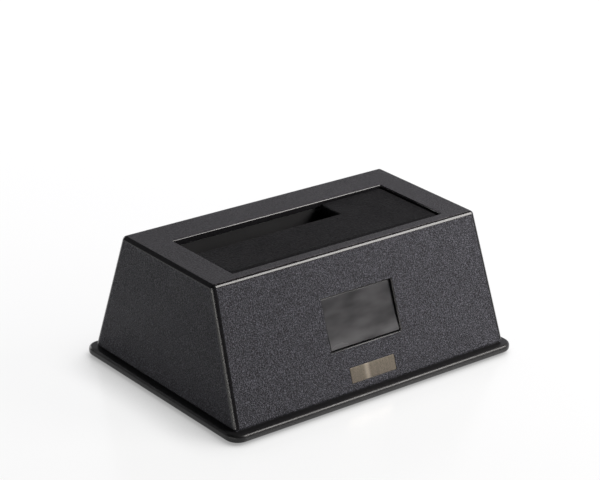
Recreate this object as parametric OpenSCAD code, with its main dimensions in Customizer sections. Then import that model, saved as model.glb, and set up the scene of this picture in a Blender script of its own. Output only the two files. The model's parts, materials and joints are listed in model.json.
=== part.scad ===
// Hard drive docking station: a sloped desktop shell with a sprung flap over a drive slot.
// Millimetres. The origin is under the middle of the base, on the surface it stands on.
// +X runs along the front to the right, +Y to the back, +Z up.

/* [Shell] */
// Width of the shell where it meets the base flange
shell_w = 134.4; // [131:0.1:150]
// Depth of the shell where it meets the base flange
shell_d = 88.8; // [85:0.1:100]
// Height of the shell above the base flange
shell_h = 50; // [47:0.1:60]
// Width of the flat top
top_w = 129.6; // [127:0.1:140]
// Depth of the flat top
top_d = 55.8; // [52:0.1:62]
// How far the middle of the top lies behind the middle of the base
top_shift = 3.2; // [1:0.1:5]
// Thickness of the sloped walls
wall = 2.3; // [1.6:0.1:2.6]
// Thickness of the top
roof_t = 2.5; // [2:0.1:3]
// Radius of the outer edges
edge_r = 1.8; // [0.8:0.1:3]
// Height of the shadow groove above the flange
groove_h = 0.9; // [0.4:0.1:1.5]
// Depth of the shadow groove
groove_in = 0.7; // [0.3:0.1:1.2]

/* [Base] */
// How far the flange stands out past the shell
flange_out = 3.2; // [2:0.1:6]
// Thickness of the flange
flange_t = 3.2; // [3:0.1:4.5]
// Corner radius of the flange, seen from above
flange_corner_r = 5.4; // [3:0.1:8]
// Radius of the flange's rim
flange_rim_r = 1.2; // [0.5:0.1:1.4]
// Thickness of the floor inside the rim
floor_t = 2; // [1.6:0.1:2.4]
// Height of the lip that locates the shell
lip_h = 2.5; // [1.5:0.1:4]
// Thickness of the lip
lip_t = 1.5; // [1:0.1:2]
// Clearance between the lip and the shell
lip_gap = 0.25; // [0.1:0.05:0.5]
// Number of ventilation slots in the floor
vent_count = 7; // [3:1:9]
// Width of a ventilation slot
vent_w = 1.8; // [1:0.1:2.5]
// Length of a ventilation slot
vent_l = 26; // [10:1:32]
// Distance from one ventilation slot to the next
vent_pitch = 5; // [4:0.1:6]

/* [Feet] */
// Diameter of a rubber foot
foot_d = 10; // [7:0.1:13]
// Height of a foot below the base
foot_h = 0.8; // [0.5:0.1:2]
// Depth of the recess that holds a foot
foot_sink = 0.8; // [0.4:0.1:1]
// Distance from the flange's side to a foot's middle
foot_in = 12; // [9:0.1:16]

/* [Screws] */
// Diameter of the shell's screw bosses
boss_d = 6.4; // [5.4:0.1:7]
// Core diameter of the shell's screws
base_screw_d = 2.4; // [2:0.1:3]
// Head diameter of the shell's screws
base_screw_head_d = 5.2; // [4.5:0.1:5.6]
// Length of the shell's screws below the head
base_screw_l = 11; // [8:0.5:16]
// Core diameter of the small screws inside
small_screw_d = 1.8; // [1.4:0.1:2.2]
// Head diameter of the small screws inside
small_screw_head_d = 4; // [3.2:0.1:4.6]
// Length of the small screws below the head
small_screw_l = 6; // [4:0.5:7]
// Diameter of the posts on the base
post_d = 5.8; // [4.8:0.1:6.2]
// Clearance around a screw's shank, on the radius
screw_gap = 0.05; // [0.02:0.01:0.1]
// Clearance of a through hole, on the radius
hole_gap = 0.4; // [0.2:0.05:0.5]
// Height of a screw head
head_t = 1.6; // [1.2:0.1:1.8]

/* [Drive slot] */
// Width of the slot in the top
slot_w = 103.4; // [102.6:0.1:104.4]
// Depth of the slot in the top, from front to back
slot_d = 36.2; // [35:0.1:38]
// Place of the slot's middle along the front
slot_x = 0; // [-1:0.1:1]
// Place of the slot's middle from front to back
slot_y = -1.8; // [-2.4:0.1:-0.6]
// Rounding of the slot's upper edges
slot_edge = 0.4; // [0.2:0.1:1]
// Width of the small drive that fits the flap's notch
small_drive_w = 69.85; // [69.5:0.05:70.2]
// Thickness of the small drive
small_drive_t = 9.5; // [7:0.5:10]
// Play of a drive beside the slot's left side
drive_gap = 0.6; // [0.4:0.1:0.9]
// Distance from the slot's back edge to a drive's back face
drive_back = 2.6; // [2.2:0.1:2.8]
// How far a drive sinks below the top
drive_depth = 32.8; // [31.5:0.1:34]

/* [Drive bay] */
// Wall thickness of the drive bay
bay_t = 2; // [1.6:0.1:2.2]
// Clearance behind a drive
bay_gap = 0.4; // [0.3:0.1:0.6]
// Height of the bay's side and front walls above its floor
bay_side_h = 20.8; // [14:0.1:21]
// Height of the straight guide wall behind a drive
bay_guide_h = 16.8; // [10:0.1:17]
// Reach of the bay's screw lugs past its side walls
lug_reach = 5.1; // [4.8:0.1:5.3]
// Distance between the front and back lugs
lug_pitch = 16; // [14:0.5:24]

/* [Flap] */
// Gap beside and behind the flap
flap_gap = 1; // [0.6:0.1:1.2]
// Gap in front of the flap's rounded edge
flap_front_gap = 0.5; // [0.4:0.1:0.8]
// How far the flap lies below the top
flap_sink = 0.8; // [0.3:0.1:1]
// Thickness of the flap
flap_t = 2; // [1.6:0.1:2.2]
// Radius of the flap's hinge barrel and front edge
barrel_r = 3; // [2.9:0.1:3.2]
// Rounding of the flap's upper edges
flap_edge = 0.5; // [0.2:0.1:0.7]
// Clearance between the small drive and the notch
notch_gap = 0.9; // [0.6:0.1:1.2]
// Diameter of the hinge pin
pin_d = 2; // [1.6:0.1:2.2]
// Running clearance of the flap on its pin, on the radius
pin_gap = 0.05; // [0.02:0.01:0.1]
// Length of each end of the pin that an ear holds
ear_t = 4.2; // [3:0.1:4.4]
// Play between the slot's side and an ear
ear_gap = 0.3; // [0.3:0.1:0.6]
// Thickness of the flap's ribs
rib_t = 1.4; // [1:0.1:1.8]
// Depth of the flap's ribs below its plate
rib_h = 1.6; // [1:0.1:2]
// Wire diameter of the flap's torsion spring
spring_wire = 0.7; // [0.5:0.05:0.75]
// Number of turns of the torsion spring
spring_turns = 6; // [4:1:8]
// Distance from one turn to the next
spring_pitch = 1.3; // [1.2:0.05:1.5]

/* [Front] */
// Width of the badge window
badge_w = 34.6; // [20:0.1:50]
// Height of the badge window up the slope
badge_h = 20.2; // [10:0.1:24]
// Place of the badge window's middle along the front
badge_x = -0.4; // [-5:0.1:5]
// Distance up the slope from the shell's lower edge to the window's middle
badge_up = 27.3; // [24:0.1:32]
// Depth of the window before the badge plate
badge_depth = 1.3; // [0.5:0.1:1.8]
// Thickness of the badge plate
badge_t = 0.9; // [0.6:0.1:1.2]
// Clearance around the badge plate
badge_gap = 0.15; // [0.05:0.05:0.4]
// Rounding of the window's edges
badge_edge = 0.5; // [0.1:0.1:0.8]
// Width of the status lens
lens_w = 22; // [12:0.1:30]
// Height of the status lens up the slope
lens_h = 5.8; // [3:0.1:7]
// Place of the status lens along the front
lens_x = 0.1; // [-5:0.1:5]
// Distance up the slope from the shell's lower edge to the lens's middle
lens_up = 6.4; // [6:0.1:8]
// Clearance around the lens
lens_gap = 0.1; // [0.05:0.05:0.3]
// Thickness of the lens's inner flange
lens_flange_t = 1; // [0.6:0.1:1.5]
// Width of the lens's inner flange around its window
lens_flange = 1; // [0.6:0.1:1.2]

/* [Board] */
// Width of the circuit board
board_w = 94; // [88:0.5:98]
// Thickness of the circuit board
board_t = 1.6; // [1:0.1:2]
// Height of the board above the floor
board_up = 8.2; // [7:0.1:9]
// Clearance between the front wall and the board's front edge
board_front_gap = 3.75; // [3:0.05:6]
// Distance from the board's side to a board screw
board_screw_in = 5; // [4:0.1:7]
// Place of the bridge chip along the board
chip_x = 19; // [14:0.5:22]
// Place of the chips from front to back
chip_y = -9.5; // [-14:0.5:-5]
// Side of the bridge chip
chip_w = 10; // [7:0.5:14]
// Height of the bridge chip
chip_h = 1.4; // [1:0.1:2]
// Width of the memory chip
memory_w = 5; // [3:0.1:6]
// Depth of the memory chip
memory_d = 4; // [3:0.1:6]
// Height of the memory chip
memory_h = 1.5; // [1:0.1:2]
// Distance between the two chips
memory_gap = 6.5; // [3:0.1:8]
// Width of the crystal's can
crystal_w = 4.6; // [3:0.1:5]
// Length of the crystal's can
crystal_l = 11; // [8:0.1:12]
// Height of the crystal's can
crystal_h = 3.5; // [2:0.1:4]
// Width of the status light
led_w = 3.2; // [1.6:0.1:5]
// Depth of the status light
led_d = 1.6; // [0.8:0.1:2.5]
// Height of the status light
led_h = 1.8; // [0.8:0.1:2.4]
// Clearance between a board screw's head and the first capacitor
cap_screw_gap = 1.5; // [0.8:0.1:3]
// Diameter of a capacitor
cap_d = 6.3; // [4:0.1:7]
// Height of a capacitor
cap_h = 7.7; // [5:0.1:8]
// Distance between the two capacitors
cap_gap = 6.3; // [1:0.1:8]
// Distance from the last capacitor to the power inductor
coil_gap = 5.6; // [1:0.1:8]
// Side of the power inductor
coil_w = 7; // [5:0.5:9]
// Height of the power inductor
coil_h = 4; // [2.5:0.1:5]

/* [Drive socket] */
// Width of the drive socket
socket_w = 43; // [42:0.5:46]
// Thickness of the drive socket
socket_t = 6.2; // [5.5:0.1:6.6]
// How far the socket reaches into a drive
socket_reach = 4.6; // [3:0.1:5]
// Distance from a drive's side to the socket's middle
socket_from_side = 26; // [25:0.1:30]
// Distance from a drive's back face to the socket's middle
socket_from_back = 3.5; // [3.4:0.1:4]
// Distance from one contact to the next
contact_pitch = 1.27; // [1.1:0.01:1.3]
// Clearance between the socket and the bay floor
socket_gap = 0.5; // [0.3:0.1:0.7]

/* [Rear ports] */
// Width of the recessed port panel
panel_w = 76; // [72:0.5:90]
// Height of the recessed port panel
panel_h = 18; // [16:0.1:19]
// Depth of the port panel behind the back slope, at the panel's upper edge
panel_sink = 1.25; // [0.8:0.05:2]
// Thickness of the port panel
panel_t = 2.2; // [1.8:0.1:2.4]
// Distance from one port to the next
port_pitch = 26; // [20:0.5:28]
// Width of the data port
usb_w = 12; // [11:0.1:13]
// Height of the data port
usb_h = 10.9; // [10:0.1:11.5]
// Length of the data port
usb_l = 16.4; // [14:0.1:16.5]
// Sheet thickness of the data port's shell
usb_t = 0.4; // [0.3:0.05:0.6]
// Size of the data port's two cut corners
usb_cut = 2.4; // [1.6:0.1:3]
// Width of the power jack
jack_w = 9; // [8.6:0.1:11]
// Length of the power jack's body
jack_l = 14; // [10:0.1:14.2]
// Diameter of the power jack's bore
jack_bore_d = 6.3; // [5.5:0.1:6.5]
// Diameter of the power jack's centre pin
jack_pin_d = 2.1; // [1.6:0.1:2.5]
// Diameter of the power button
button_d = 8; // [6:0.1:9]
// How far the power button stands out of the panel
button_out = 2.6; // [2.2:0.1:3]
// Travel of the power button
button_travel = 2; // [1:0.1:2]
// Side of the switch body
switch_w = 9; // [8:0.1:10]
// Diameter of the switch's plunger
plunger_d = 3; // [2.4:0.1:3.4]
// Clearance of a port in its panel hole
port_gap = 0.3; // [0.2:0.05:0.4]

/* [Hidden] */

// Colours as the object shows them
shell_colour = "#26262a";
inner_colour = "#1a1a1c";
steel_colour = "#b9bcc0";
gold_colour = "#c9a445";

// A little extra so that joined solids meet
eps = 0.02;
// How far a cut runs past a face
over = 1;
$fn = 48;

// Faces of a six-sided block from its four lower and four upper corners
BOX_FACES = [[0, 1, 2, 3], [4, 5, 1, 0], [7, 6, 5, 4], [5, 6, 2, 1], [6, 7, 3, 2], [7, 4, 0, 3]];

// Levels
z_base = foot_h;
z_floor = z_base + floor_t;
z_shell = z_base + flange_t;
z_top = z_shell + shell_h;
z_roof = z_top - roof_t;
z_seat = z_top - drive_depth;
z_board = z_floor + board_up;
z_parts = z_board + board_t;

// Lean of the shell's sides
side_lean = atan((shell_w - top_w) / 2 / shell_h);
front_lean = atan((shell_d / 2 + top_shift - top_d / 2) / shell_h);
back_lean = atan((shell_d / 2 - top_shift - top_d / 2) / shell_h);

// Faces of the shell at a height, set in by a wall
function side_x(z, inset = 0) = shell_w / 2 - tan(side_lean) * (z - z_shell) - inset / cos(side_lean);
function front_y(z, inset = 0) = tan(front_lean) * (z - z_shell) - shell_d / 2 + inset / cos(front_lean);
function back_y(z, inset = 0) = shell_d / 2 - tan(back_lean) * (z - z_shell) - inset / cos(back_lean);

// Slot, drives and bay
slot_left = slot_x - slot_w / 2;
slot_right = slot_x + slot_w / 2;
slot_front = slot_y - slot_d / 2;
slot_back = slot_y + slot_d / 2;
drive_left = slot_left + drive_gap;
drive_back_y = slot_back - drive_back;
small_drive_front = drive_back_y - small_drive_t;
bay_back = drive_back_y + bay_gap;
bay_low = z_seat - bay_t;
lug_x = slot_w / 2 + bay_t + lug_reach;
lug_y = lug_pitch / 2;
lug_rim = 1;
lug_r = small_screw_head_d / 2 + lug_rim;
z_guide = z_seat + bay_guide_h;
bay_roof_gap = 0.3;
bay_top = z_roof - bay_roof_gap;

// Hinge and flap
hinge_y = slot_front + flap_front_gap + barrel_r;
z_flap = z_top - flap_sink;
z_hinge = z_flap - barrel_r;
z_flap_low = z_flap - flap_t;
flap_left = slot_left + flap_gap;
flap_right = slot_right - flap_gap;
flap_back = slot_back - flap_gap;
notch_x = drive_left + small_drive_w + notch_gap;
notch_y = small_drive_front - notch_gap;
// Circle that the flap's far edge sweeps, and where it crosses the bay's floor
swing_gap = 0.8;
swing_r = norm([flap_back - hinge_y, barrel_r]) + swing_gap;
swing_y = hinge_y + sqrt(max(0, pow(swing_r, 2) - pow(z_hinge - z_seat, 2)));
// Stop tabs at the flap's ends, which reach under the top beside the slot
tab_under = 1.1;
tab_reach = flap_gap + tab_under;
tab_l = 3.4;
tab_t = 1.8;
tab_gap = 0.5;

// Torsion spring around the hinge pin
spring_clear = 0.35;
spring_l = spring_turns * spring_pitch;
spring_r = pin_d / 2 + spring_clear + spring_wire / 2;
pocket_r = spring_r + spring_wire / 2 + spring_clear;
spring_x = slot_x - spring_l / 2;
leg_up = 9;
leg_down = 11;
bay_front = hinge_y - pocket_r;

// Screw places
boss_in = 1.1;
boss_x = top_w / 2 - wall - boss_d / 2 + boss_in;
boss_y = [slot_front + 2 * boss_in, slot_back + boss_d + boss_in];
pad_up = 1;
z_pad = z_shell + pad_up;
pad_rim = 1.5;
pad_d = base_screw_head_d + 2 * pad_rim;
head_room = 0.4;
tip_room = 2;
// Cross recess of a screw, as shares of its head
recess_long = 0.6;
recess_wide = 0.16;
foot_x = shell_w / 2 + flange_out - foot_in;
foot_y = shell_d / 2 + flange_out - foot_in;

// Drive socket
socket_x = drive_left + socket_from_side;
socket_y = drive_back_y - socket_from_back;
z_socket = z_seat + socket_reach;
power_count = 15;
signal_count = 7;
tongue_slot = 2.4;
tongue_deep = 6.4;
key_l = 1.3;
contact_w = 0.8;
contact_t = 0.3;
slot_web = 2.6;
power_w = (power_count + 1) * contact_pitch;
signal_w = (signal_count + 1) * contact_pitch;
power_x = socket_x - (power_w + slot_web + signal_w) / 2;
signal_x = power_x + power_w + slot_web;

// Rear ports
z_port = z_parts + usb_h / 2;
panel_low = z_port - panel_h / 2;
// The panel follows the back slope, and leaves the data port room behind the bay
port_room = 0.5;
panel_y = max(back_y(panel_low + panel_h) - panel_sink, bay_back + bay_t + port_room + usb_l);
panel_in = panel_y - panel_t;
jack_x = -port_pitch;
button_x = port_pitch;
collar_step = 0.5;
collar_r = jack_w / 2 - collar_step;
jack_deep = 9;
jack_pin_back = 1;
usb_front = panel_y - usb_l;
usb_back_t = 5;
tongue_w = 5.6;
tongue_h = 3.2;
tongue_l = 8.9;
usb_contact_w = 1;
usb_contact_back = 1;
rim_w = 1;
rim_t = 1;
rim_play = 0.4;
rim_back = panel_in - rim_play - rim_t;
closed_room = 0.9;
switch_front = rim_back - button_travel - closed_room;
plunger_in = 3.5;
button_wire = 0.5;
button_spring_r = plunger_d / 2 + button_wire;
button_spring_turns = 2.5;
button_spring_gap = 0.05;

// Circuit board
board_front = front_y(z_board, wall) + board_front_gap;
board_gap = 0.5;
board_back = panel_in - board_gap;
board_screw_x = board_w / 2 - board_screw_in;
board_screw_y = [board_front + board_screw_in, board_back - board_screw_in - board_gap];
// Middle of the board's strip in front of the bay, and what stands along it
front_room = (slot_front - bay_t + board_front) / 2;
cap_x = small_screw_head_d / 2 + cap_screw_gap + cap_d / 2 - board_screw_x;
cap_pitch = cap_d + cap_gap;
coil_x = cap_x + cap_pitch + cap_d / 2 + coil_gap + coil_w / 2;

// Shell form without rounding, set in by a wall
module tapered_block(inset, low, high) {
    corners = [[-1, 0], [1, 0], [1, 1], [-1, 1]];
    points = [
        for (z = [low, high])
        for (c = corners)
        [c[0] * side_x(z, inset), c[1] == 0 ? front_y(z, inset) : back_y(z, inset), z]
    ];
    polyhedron(points, BOX_FACES);
}

// Outside of the shell with rounded edges, cut flat at the flange
module rounded_body() {
    intersection() {
        hull()
            for (z = [z_shell - 2 * edge_r, z_top - edge_r])
                for (side = [-1, 1])
                    for (y = [front_y(z, edge_r), back_y(z, edge_r)])
                        translate([side * side_x(z, edge_r), y, z])
                            sphere(edge_r, $fn = 32);
        centred_box([2 * shell_w, 2 * shell_d, 2 * shell_h], z_shell);
    }
}

// Places children on the sloped front: x along it, y up the slope, z out of it
module on_front(x, up) {
    translate([0, -shell_d / 2, z_shell])
        rotate([90 - front_lean, 0, 0])
            translate([x, up, 0])
                children();
}

// Box centred on x and y, with its underside at a height
module centred_box(size, low) {
    translate([-size[0] / 2, -size[1] / 2, low])
        cube(size);
}

// Funnel that softens the upper edge of a rectangular hole, with its top at z = 0
module soft_mouth(size, soft) {
    // Depth and spread of the funnel as shares of the rounding
    steps = [[-eps, 1], [0.3, 0.3], [1, 0]];
    for (i = [0, 1]) {
        points = [
            for (step = [steps[i + 1], steps[i]])
            for (c = [[-1, -1], [1, -1], [1, 1], [-1, 1]])
            [c[0] * (size[0] / 2 + step[1] * soft), c[1] * (size[1] / 2 + step[1] * soft), -step[0] * soft]
        ];
        polyhedron(points, BOX_FACES);
    }
}

// Strip that rounds an upper edge along X, with the solid on its +Y side
module edge_strip(length, soft) {
    difference() {
        translate([0, -over, -soft])
            cube([length, soft + over, soft + over]);
        translate([-over, soft, -soft])
            rotate([0, 90, 0])
                cylinder(h = length + 2 * over, r = soft);
    }
}

// Cylinder along X
module rod_x(x, y, z, r, length) {
    translate([x, y, z])
        rotate([0, 90, 0])
            cylinder(h = length, r = r);
}

// Cylinder along Y
module rod_y(x, y, z, r, length) {
    translate([x, y, z])
        rotate([-90, 0, 0])
            cylinder(h = length, r = r);
}

// Tube along a list of points that winds about an axis, closed at both ends
module wire(path, r, axis) {
    sides = 6;
    count = len(path);
    function tangent(i) = path[min(i + 1, count - 1)] - path[max(i - 1, 0)];
    function unit(v) = v / norm(v);
    points = [
        for (i = [0 : count - 1])
        let (t = unit(tangent(i)))
        let (u = unit(cross(t, axis)))
        let (v = cross(t, u))
        for (k = [0 : sides - 1])
        path[i] + r * (cos(360 * k / sides) * u + sin(360 * k / sides) * v)
    ];
    around = [
        for (i = [0 : count - 2])
        for (k = [0 : sides - 1])
        let (a = i * sides + k)
        let (b = i * sides + (k + 1) % sides)
        for (face = [[a, b + sides, b], [a, a + sides, b + sides]])
        face
    ];
    start = [for (k = [1 : sides - 2]) [0, k, k + 1]];
    end = [for (k = [1 : sides - 2]) [0, k + 1, k] + (count - 1) * sides * [1, 1, 1]];
    polyhedron(points, concat(around, start, end));
}

// Least distance between turns of a wound wire, skipping neighbours along it
function least_gap(path, d, skip) = min([
    for (i = [0 : len(path) - 1])
    for (j = [i + skip : 1 : len(path) - 1])
    norm(path[i] - path[j]) - d
]);

// Screw with its head's underside at z = 0, pointing down, with a cross recess
module screw(d, head_d, length) {
    difference() {
        union() {
            cylinder(h = head_t, d = head_d);
            translate([0, 0, -length])
                cylinder(h = length + eps, d = d);
        }
        for (turn = [0, 90])
            rotate(turn)
                centred_box([head_d * recess_long, head_d * recess_wide, head_t], head_t / 2);
    }
}

module at_bosses() {
    for (side = [-1, 1])
        for (y = boss_y)
            translate([side * boss_x, y, 0])
                children();
}

module at_feet() {
    for (side = [-1, 1])
        for (end = [-1, 1])
            translate([side * foot_x, end * foot_y, 0])
                children();
}

module at_lugs() {
    for (side = [-1, 1])
        for (end = [-1, 1])
            translate([slot_x + side * lug_x, end * lug_y, 0])
                children();
}

module at_board_screws() {
    for (side = [-1, 1])
        for (y = board_screw_y)
            translate([side * board_screw_x, y, 0])
                children();
}

// Ear under the top that holds one end of the hinge pin
module hinge_ear(x) {
    rod_x(x, hinge_y, z_hinge, barrel_r, ear_t);
    translate([x, hinge_y - barrel_r, z_hinge])
        cube([ear_t, 2 * barrel_r, z_roof - z_hinge + eps]);
}

// Walls of the shell with its pads, bosses and ears, before its holes
module housing_walls() {
    difference() {
        rounded_body();
        tapered_block(wall, z_shell - over, z_roof);
        difference() {
            centred_box([2 * shell_w, 2 * shell_d, groove_h + over], z_shell - over);
            tapered_block(groove_in, z_shell - 2 * over, z_shell + groove_h + over);
        }
    }
    intersection() {
        tapered_block(wall / 2, z_shell, z_roof);
        translate([0, panel_in + shell_d / 2, 0])
            centred_box([panel_w + 2 * panel_t, shell_d, panel_h + 2 * panel_t], panel_low - panel_t);
    }
    badge_back = badge_depth + badge_t + wall;
    on_front(badge_x, badge_up)
        centred_box([badge_w + 2 * wall, badge_h + 2 * wall, badge_back - wall / 2], -badge_back);
    at_bosses()
        translate([0, 0, z_pad])
            cylinder(h = z_roof - z_pad + eps, d = boss_d);
    hinge_ear(slot_left - ear_gap - ear_t);
    hinge_ear(slot_right + ear_gap);
}

module upper_housing() {
    color(shell_colour)
        difference() {
            housing_walls();
            translate([slot_x, slot_y, 0])
                centred_box([slot_w, slot_d, 3 * roof_t], z_roof - roof_t);
            translate([slot_x, slot_y, z_top])
                soft_mouth([slot_w, slot_d], slot_edge);
            on_front(badge_x, badge_up) {
                centred_box([badge_w, badge_h, badge_depth + badge_t + over], -badge_depth - badge_t);
                soft_mouth([badge_w, badge_h], badge_edge);
            }
            on_front(lens_x, lens_up)
                centred_box([lens_w + 2 * lens_gap, lens_h + 2 * lens_gap, 4 * wall], -2 * wall);
            translate([0, panel_y + shell_d / 2, 0])
                centred_box([panel_w, shell_d, panel_h], panel_low);
            rod_y(jack_x, panel_in - over, z_port, collar_r + port_gap, panel_t + 2 * over);
            usb_block(-port_gap, panel_in - over, panel_t + 2 * over);
            rod_y(button_x, panel_in - over, z_port, button_d / 2 + port_gap, panel_t + 2 * over);
            at_bosses()
                translate([0, 0, z_pad - eps])
                    cylinder(h = base_screw_l + tip_room, r = base_screw_d / 2 + screw_gap);
            for (x = [slot_left - ear_gap - ear_t - over, slot_right + ear_gap - over])
                rod_x(x, hinge_y, z_hinge, pin_d / 2 + pin_gap / 2, ear_t + over);
        }
}

// Disc with a rounded rim, one corner of the flange
module flange_corner() {
    rotate_extrude($fn = 32)
        union() {
            square([flange_corner_r - flange_rim_r, flange_t]);
            translate([0, flange_rim_r])
                square([flange_corner_r, flange_t - 2 * flange_rim_r]);
            for (y = [flange_rim_r, flange_t - flange_rim_r])
                translate([flange_corner_r - flange_rim_r, y])
                    circle(flange_rim_r, $fn = 24);
        }
}

// Post on the floor for a small screw
module base_post(top) {
    translate([0, 0, z_floor - eps])
        cylinder(h = top - z_floor + eps, d = post_d);
}

// Blind hole in a post for a small screw
module post_hole(top) {
    translate([0, 0, top - small_screw_l])
        cylinder(h = small_screw_l + eps, r = small_screw_d / 2 + screw_gap);
}

// Flange, floor and lip of the base, before its posts and holes
module base_tray() {
    lip_top = z_shell + lip_h;
    lip_x = side_x(lip_top, wall) - lip_gap;
    lip_front = front_y(lip_top, wall) + lip_gap;
    lip_back = back_y(lip_top, wall) - lip_gap;
    lip_d = lip_back - lip_front;
    corner_x = shell_w / 2 + flange_out - flange_corner_r;
    corner_y = shell_d / 2 + flange_out - flange_corner_r;
    difference() {
        union() {
            translate([0, 0, z_base])
                hull()
                    for (x = [-corner_x, corner_x])
                        for (y = [-corner_y, corner_y])
                            translate([x, y, 0])
                                flange_corner();
            translate([0, lip_front + lip_d / 2, 0])
                centred_box([2 * lip_x, lip_d, lip_h + flange_t / 2], z_shell - flange_t / 2);
        }
        translate([0, lip_front + lip_d / 2, 0])
            centred_box([2 * (lip_x - lip_t), lip_d - 2 * lip_t, lip_h + flange_t], z_floor);
        translate([lens_x, lip_front, 0])
            centred_box([lens_w + 2 * (lens_flange + lip_gap), 4 * lip_t, lip_h + over], z_shell);
        at_bosses()
            translate([0, 0, z_pad])
                cylinder(h = lip_h, r = boss_d / 2 + lip_gap);
    }
}

module base_plate() {
    color(shell_colour)
        difference() {
            union() {
                base_tray();
                at_bosses()
                    translate([0, 0, z_floor - eps])
                        cylinder(h = z_pad - z_floor + eps, d = pad_d);
                at_lugs()
                    base_post(bay_low);
                at_board_screws()
                    base_post(z_board);
            }
            at_feet()
                translate([0, 0, z_base - eps])
                    cylinder(h = foot_sink + eps, d = foot_d);
            for (i = [0 : vent_count - 1])
                translate([0, (i - (vent_count - 1) / 2) * vent_pitch, 0])
                    centred_box([vent_l, vent_w, 4 * floor_t], z_base - floor_t);
            at_bosses() {
                translate([0, 0, z_base - eps])
                    cylinder(h = head_t + head_room + eps, r = base_screw_head_d / 2 + hole_gap);
                translate([0, 0, z_base])
                    cylinder(h = z_pad, r = base_screw_d / 2 + hole_gap);
            }
            at_lugs()
                post_hole(bay_low);
            at_board_screws()
                post_hole(z_board);
        }
}

module rubber_feet() {
    color("#101011")
        at_feet()
            cylinder(h = foot_h + foot_sink, d = foot_d);
}

module base_screws() {
    color(steel_colour)
        at_bosses()
            translate([0, 0, z_base + head_t + head_room])
                rotate([180, 0, 0])
                    screw(base_screw_d, base_screw_head_d, base_screw_l);
}

// Wall behind the drives: straight low down, set back for the flap higher up
module bay_back_wall() {
    step = slot_back + flap_gap / 2 - bay_back;
    profile = [
        [0, bay_low], [0, z_guide], [step, z_guide + step], [step, bay_top],
        [step + bay_t, bay_top], [step + bay_t, z_guide + step - bay_t / 2],
        [bay_t, z_guide - bay_t / 2], [bay_t, bay_low]
    ];
    translate([slot_left - bay_t, bay_back, 0])
        rotate([90, 0, 90])
            linear_extrude(slot_w + 2 * bay_t)
                polygon(profile);
}

module drive_bay() {
    outer_w = slot_w + 2 * bay_t;
    outer_d = bay_back - bay_front + 2 * bay_t;
    socket_hole = [socket_w + 2 * socket_gap, socket_t + 2 * socket_gap, 3 * bay_t];
    color(inner_colour)
        difference() {
            union() {
                translate([slot_left - bay_t, bay_front - bay_t, bay_low])
                    difference() {
                        cube([outer_w, outer_d, bay_t + bay_side_h]);
                        translate([bay_t, bay_t, bay_t])
                            cube([slot_w, outer_d, bay_side_h + over]);
                    }
                bay_back_wall();
                at_lugs()
                    translate([0, 0, bay_low])
                        cylinder(h = bay_t, r = lug_r);
                for (side = [-1, 1])
                    for (end = [-1, 1])
                        translate([slot_x + side * (lug_x - lug_reach / 2), end * lug_y, 0])
                            centred_box([lug_reach, 2 * lug_r, bay_t], bay_low);
            }
            translate([notch_x - swing_gap, bay_front, bay_low - over])
                cube([slot_right - notch_x + swing_gap, swing_y - bay_front, bay_t + 2 * over]);
            translate([socket_x, socket_y, 0])
                centred_box(socket_hole, bay_low - bay_t);
            at_lugs()
                translate([0, 0, bay_low - over])
                    cylinder(h = bay_t + 2 * over, r = small_screw_d / 2 + hole_gap);
        }
}

module bay_screws() {
    color(steel_colour)
        at_lugs()
            translate([0, 0, z_seat])
                screw(small_screw_d, small_screw_head_d, small_screw_l);
}

// Ribs under the flap, along its far edges and across it
module flap_ribs() {
    low = z_flap_low - rib_h;
    for (x = [flap_left, notch_x, flap_right - rib_t]) {
        far = x < notch_x ? notch_y : flap_back;
        translate([x, hinge_y, low])
            cube([rib_t, far - hinge_y, rib_h + eps]);
    }
    translate([flap_left, notch_y - rib_t, low])
        cube([notch_x - flap_left + rib_t, rib_t, rib_h + eps]);
    translate([notch_x, flap_back - rib_t, low])
        cube([flap_right - notch_x, rib_t, rib_h + eps]);
}

// Upper edges of the flap that are rounded
module flap_edges() {
    translate([flap_left - over, flap_back, z_flap])
        mirror([0, 1, 0])
            edge_strip(flap_right - flap_left + 2 * over, flap_edge);
    translate([flap_left - over, notch_y, z_flap])
        mirror([0, 1, 0])
            edge_strip(notch_x - flap_left + over, flap_edge);
    translate([flap_left, flap_back, z_flap])
        rotate(-90)
            edge_strip(flap_back - hinge_y + barrel_r, flap_edge);
    translate([notch_x, flap_back + over, z_flap])
        rotate(-90)
            edge_strip(flap_back - notch_y + over, flap_edge);
    translate([flap_right, hinge_y - barrel_r, z_flap])
        rotate(90)
            edge_strip(flap_back - hinge_y + barrel_r + over, flap_edge);
}

module flap() {
    color(shell_colour)
        difference() {
            union() {
                translate([flap_left, hinge_y, z_flap_low])
                    cube([flap_right - flap_left, notch_y - hinge_y, flap_t]);
                translate([notch_x, hinge_y, z_flap_low])
                    cube([flap_right - notch_x, flap_back - hinge_y, flap_t]);
                rod_x(flap_left, hinge_y, z_hinge, barrel_r, flap_right - flap_left);
                flap_ribs();
                for (x = [flap_left - tab_reach, flap_right - rib_t])
                    translate([x, hinge_y + barrel_r + tab_gap, z_flap_low - tab_t])
                        cube([tab_reach + rib_t, tab_l, tab_t]);
            }
            flap_edges();
            rod_x(flap_left - over, hinge_y, z_hinge, pin_d / 2 + pin_gap, flap_right - flap_left + 2 * over);
            translate([spring_x - spring_wire, hinge_y - barrel_r - over, z_hinge - barrel_r - over])
                cube([spring_l + 3 * spring_wire, 2 * (barrel_r + over), barrel_r + over]);
            rod_x(spring_x - spring_wire, hinge_y, z_hinge, pocket_r, spring_l + 3 * spring_wire);
            translate([spring_x - spring_wire, hinge_y, z_hinge - over])
                cube([2 * spring_wire, leg_up + over, pocket_r + over]);
        }
}

module hinge_pin() {
    pin_end = ear_gap + ear_t - ear_gap / 2;
    color(steel_colour)
        rod_x(slot_left - pin_end, hinge_y, z_hinge, pin_d / 2, slot_w + 2 * pin_end);
}

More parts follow.
